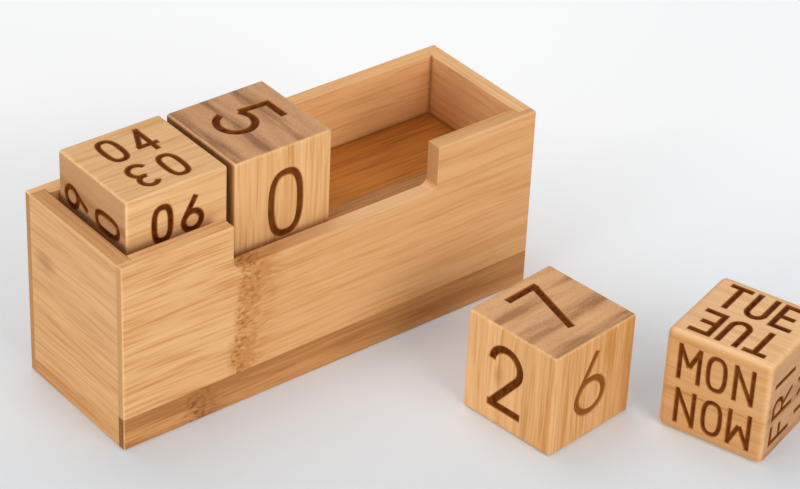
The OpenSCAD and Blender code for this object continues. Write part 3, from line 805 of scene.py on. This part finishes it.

# Weekday cube: two layers of bamboo glued flat and sanded softer than the others. Two short weekday
# names are burnt into each face, the lower one upside down. To the eye its sides are browner than
# its top, which is painted paler as painted light, and its glue line is a thin dark level stroke.
WEEK_YAW = math.radians(-72)
WEEK_ROUNDING = 2.6
WEEK_GAP = 2.0
STROKES.update({
    "A": [((-0.5, -1), (0, 1), 1), ((0.5, -1), (0, 1), 1), ((-0.25, -0.333), (0.25, -0.333), 0)],
    "D": [
        ((-0.5, -1), (-0.5, 1), 1), ((-0.5, 1), (0, 1), 0), ((-0.5, -1), (0, -1), 0),
        ((0, 0.5), 0.5, 0, 90), ((0, -0.5), 0.5, 270, 360), ((0.5, 0.5), (0.5, -0.5), 0),
    ],
    "E": [
        ((-0.5, -1), (-0.5, 1), 1), ((-0.5, 1), (0.5, 1), 1),
        ((-0.5, 0), (0.25, 0), 1), ((-0.5, -1), (0.5, -1), 1),
    ],
    "F": [((-0.5, -1), (-0.5, 1), 1), ((-0.5, 1), (0.5, 1), 1), ((-0.5, 0), (0.25, 0), 1)],
    "H": [((-0.5, -1), (-0.5, 1), 1), ((0.5, -1), (0.5, 1), 1), ((-0.5, 0), (0.5, 0), 0)],
    "I": [((0, -1), (0, 1), 1)],
    "M": [
        ((-0.575, -1), (-0.575, 1), 1), ((0.575, -1), (0.575, 1), 1),
        ((-0.575, 1), (0, -0.25), 0), ((0.575, 1), (0, -0.25), 0),
    ],
    "N": [((-0.5, -1), (-0.5, 1), 1), ((0.5, -1), (0.5, 1), 1), ((-0.5, 1), (0.5, -1), 0)],
    "O": [((0.5, 1),)],
    "R": [
        ((-0.5, -1), (-0.5, 1), 1), ((-0.5, 1), (0, 1), 0), ((-0.5, 0), (0, 0), 0),
        ((0, 0.5), 0.5, -90, 90), ((-0.125, 0), (0.5, -1), 0.5),
    ],
    "S": [((0, 0.53), 0.47, 25, 270), ((0, -0.45), 0.55, -155, 90)],
    "T": [((-0.5, 1), (0.5, 1), 1), ((0, 1), (0, -1), 1)],
    "U": [((-0.5, 1), (-0.5, -0.5), 1), ((0.5, 1), (0.5, -0.5), 1), ((0, -0.5), 0.5, 180, 360)],
    "W": [
        ((-0.6, 1), (-0.3, -1), 0.5), ((0.6, 1), (0.3, -1), 0.5),
        ((-0.3, -1), (0, 0.5), 0.5), ((0.3, -1), (0, 0.5), 0.5),
    ],
})
WEEKDAYS = [
    (0, CENTRED, 0.95, 0.15, "MON", "MON"), (90, CENTRED, 1, 0.2, "FRI", "FRI"),
    (0, CENTRED, 1, 0.2, "WED", "WED"), (90, CENTRED, 1, 0.2, "THU", "THU"),
    (0, CENTRED, 1, 0.4, "TUE", "TUE"), (0, CENTRED, 1, 0.2, "SAT", "SUN"),
]
weekday_cube, middle = burnt_cube(
    "weekday_cube_block", "weekday_cube", WEEKDAYS, WEEK_ROUNDING, WEEK_YAW,
    LABEL_HEIGHT, LABEL_STROKE, WEEK_GAP)
weekday_cube.data.materials.append(bamboo(
    "burnt_bamboo_weekday", "#DCA872", "#BC8044", ("#CE9E72", "#946A4A"), "X", 14.0,
    lines=(0.3, 0.3), broad=("Z", "#F6C998", "#D89E62"), centre=middle, yaw=WEEK_YAW,
    strips=("Z", (-3.0,), (0.15, 0.0), 0.45), burnt=True))

# Table: a plain pale floor in soft studio light, with a top lamp a little behind and two low broad
# ones, in front and on the left. The camera stands where the photograph was taken.
FLOOR_HALF = 6
FLOOR_DROP = 0.1 * MM
AWAY = (0.62, 0.785, 0)
FLOOR_SHADE = (-90 * MM, 150 * MM)
floor_mesh = bpy.data.meshes.new("floor")
floor_mesh.from_pydata([
    (x * FLOOR_HALF, y * FLOOR_HALF, -FLOOR_DROP) for x, y in ((-1, -1), (1, -1), (1, 1), (-1, 1))
], [], [(0, 1, 2, 3)])
floor = bpy.data.objects.new("floor", floor_mesh)
bpy.context.collection.objects.link(floor)

# Pale matt paper: to the eye no grain and no shine, painted a shade greyer towards the camera as
# painted shade, and lifted by a painted glow that only the camera sees, stronger farther off
pale_floor = bpy.data.materials.new("pale_paper_floor")
pale_floor.use_nodes = True
tree = pale_floor.node_tree
tree.nodes.clear()
spot = add(tree, "ShaderNodeTexCoord")
depth = add(tree, "ShaderNodeVectorMath", {0: spot.outputs["Object"], 1: AWAY}, operation="DOT_PRODUCT")
depth = add(tree, "ShaderNodeMapRange", {
    "Value": depth.outputs["Value"], "From Min": FLOOR_SHADE[0], "From Max": FLOOR_SHADE[1],
})
shade = add(tree, "ShaderNodeMix", {
    "Factor": depth, 6: linear("#DCE2E7"), 7: linear("#F4F5F6"),
}, data_type="RGBA")
# Painted light: a glow on the floor for camera rays alone, growing with distance
seen = add(tree, "ShaderNodeMapRange", {"Value": depth, "To Min": 0.06, "To Max": 0.2})
seen = add(tree, "ShaderNodeMath", {
    0: seen, 1: add(tree, "ShaderNodeLightPath").outputs["Is Camera Ray"],
}, operation="MULTIPLY")
shader = add(tree, "ShaderNodeBsdfPrincipled", {
    "Base Color": shade.outputs[2], "Roughness": 0.9, "Specular IOR Level": 0.1,
    "Emission Color": shade.outputs[2], "Emission Strength": seen,
})
add(tree, "ShaderNodeOutputMaterial", {"Surface": shader})
floor_mesh.materials.append(pale_floor)

world = bpy.data.worlds.new("studio")
world.use_nodes = True
world.node_tree.nodes["Background"].inputs["Color"].default_value = (1, 1, 1, 1)
world.node_tree.nodes["Background"].inputs["Strength"].default_value = 0.5
bpy.context.scene.world = world
for name, watts, size, spot in (
    ("top", 3.2, 0.7, (0.05, 0.45, 1.2)),
    ("front", 7.8, 0.8, (0.1, -1.22, 0.48)),
    ("left", 6.4, 0.6, (-1.2, -0.14, 0.26)),
):
    lamp = bpy.data.lights.new(name, "AREA")
    lamp.energy = watts
    lamp.size = size
    holder = bpy.data.objects.new(name, lamp)
    holder.location = spot
    holder.rotation_euler = mathutils.Vector(spot).to_track_quat("Z", "Y").to_euler()
    bpy.context.collection.objects.link(holder)

camera = bpy.data.cameras.new("camera")
camera.sensor_width = 36
camera.lens = 129.48
camera.clip_start = 0.05
camera_place = bpy.data.objects.new("camera", camera)
camera_place.location = (-0.50277, -0.66631, 0.58642)
camera_place.rotation_euler = (math.radians(56.537), math.radians(-2.278), math.radians(-38.25))
bpy.context.collection.objects.link(camera_place)
bpy.context.scene.camera = camera_place
bpy.context.scene.view_settings.view_transform = "Standard"
